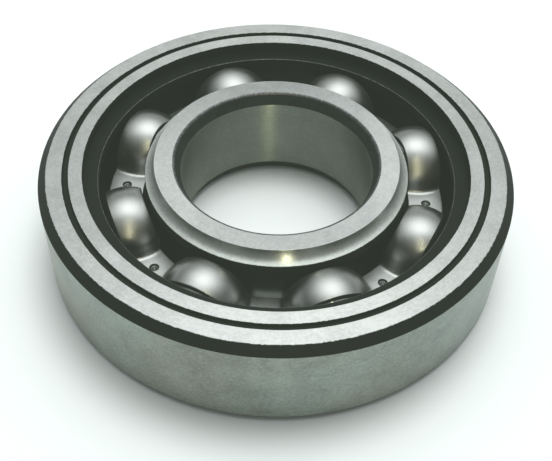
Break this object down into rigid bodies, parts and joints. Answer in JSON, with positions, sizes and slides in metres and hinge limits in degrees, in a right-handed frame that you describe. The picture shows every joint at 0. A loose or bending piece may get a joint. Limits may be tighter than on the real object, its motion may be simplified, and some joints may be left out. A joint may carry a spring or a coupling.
{
  "type": "deep groove ball bearing",
  "caption": "Open single-row deep-groove ball bearing with a riveted ribbon cage: the inner ring turns freely in the outer ring on its balls.",
  "frame": {"origin": "centre of the lower side face, on the bearing's axis", "axes": "+Z along the bearing's axis, from the lower side face to the upper one; X and Y in the plane of the lower side face"},
  "size_m": [0.11, 0.11, 0.025],
  "materials": {
    "ring_steel": "ground faces, bore and outside; the turned reliefs between them are dark unground steel",
    "cage_steel": "cold-pressed sheet with a soft satin shine",
    "ball_steel": "lapped and polished",
    "rivet_steel": "dull, each end flared flush with the cage and dished by the riveting tool"
  },
  "bodies": {
    "outer_ring": {"outer_ring": "ring_steel"},
    "inner_ring": {"inner_ring": "ring_steel"},
    "cage": {"cage_upper_half": "cage_steel", "cage_lower_half": "cage_steel", "rivet_1": "rivet_steel", "rivet_2": "rivet_steel", "rivet_3": "rivet_steel", "rivet_4": "rivet_steel", "rivet_5": "rivet_steel", "rivet_6": "rivet_steel", "rivet_7": "rivet_steel", "rivet_8": "rivet_steel"},
    "ball_1": {"ball_1": "ball_steel"},
    "ball_2": {"ball_2": "ball_steel"},
    "ball_3": {"ball_3": "ball_steel"},
    "ball_4": {"ball_4": "ball_steel"},
    "ball_5": {"ball_5": "ball_steel"},
    "ball_6": {"ball_6": "ball_steel"},
    "ball_7": {"ball_7": "ball_steel"},
    "ball_8": {"ball_8": "ball_steel"}
  },
  "joints": [
    {"name": "inner_spin", "type": "hinge", "parent": "outer_ring", "child": "inner_ring", "pos_m": [0, 0, 0.0125], "axis": [0, 0, 1], "continuous": true},
    {"name": "cage_spin", "type": "hinge", "parent": "outer_ring", "child": "cage", "pos_m": [0, 0, 0.0125], "axis": [0, 0, 1], "continuous": true},
    {"name": "ball_1_spin", "type": "hinge", "parent": "cage", "child": "ball_1", "pos_m": [0.0124, -0.03406, 0.0125], "axis": [0, 0, 1], "continuous": true},
    {"name": "ball_2_spin", "type": "hinge", "parent": "cage", "child": "ball_2", "pos_m": [0.03285, -0.01532, 0.0125], "axis": [0, 0, 1], "continuous": true},
    {"name": "ball_3_spin", "type": "hinge", "parent": "cage", "child": "ball_3", "pos_m": [0.03406, 0.0124, 0.0125], "axis": [0, 0, 1], "continuous": true},
    {"name": "ball_4_spin", "type": "hinge", "parent": "cage", "child": "ball_4", "pos_m": [0.01532, 0.03285, 0.0125], "axis": [0, 0, 1], "continuous": true},
    {"name": "ball_5_spin", "type": "hinge", "parent": "cage", "child": "ball_5", "pos_m": [-0.0124, 0.03406, 0.0125], "axis": [0, 0, 1], "continuous": true},
    {"name": "ball_6_spin", "type": "hinge", "parent": "cage", "child": "ball_6", "pos_m": [-0.03285, 0.01532, 0.0125], "axis": [0, 0, 1], "continuous": true},
    {"name": "ball_7_spin", "type": "hinge", "parent": "cage", "child": "ball_7", "pos_m": [-0.03406, -0.0124, 0.0125], "axis": [0, 0, 1], "continuous": true},
    {"name": "ball_8_spin", "type": "hinge", "parent": "cage", "child": "ball_8", "pos_m": [-0.01532, -0.03285, 0.0125], "axis": [0, 0, 1], "continuous": true}
  ],
  "couplings": [
    {"joint": "cage_spin", "follows": "inner_spin", "ratio": 0.37957},
    {"joint": "ball_1_spin", "follows": "inner_spin", "ratio": -1.9554},
    {"joint": "ball_2_spin", "follows": "inner_spin", "ratio": -1.9554},
    {"joint": "ball_3_spin", "follows": "inner_spin", "ratio": -1.9554},
    {"joint": "ball_4_spin", "follows": "inner_spin", "ratio": -1.9554},
    {"joint": "ball_5_spin", "follows": "inner_spin", "ratio": -1.9554},
    {"joint": "ball_6_spin", "follows": "inner_spin", "ratio": -1.9554},
    {"joint": "ball_7_spin", "follows": "inner_spin", "ratio": -1.9554},
    {"joint": "ball_8_spin", "follows": "inner_spin", "ratio": -1.9554}
  ]
}
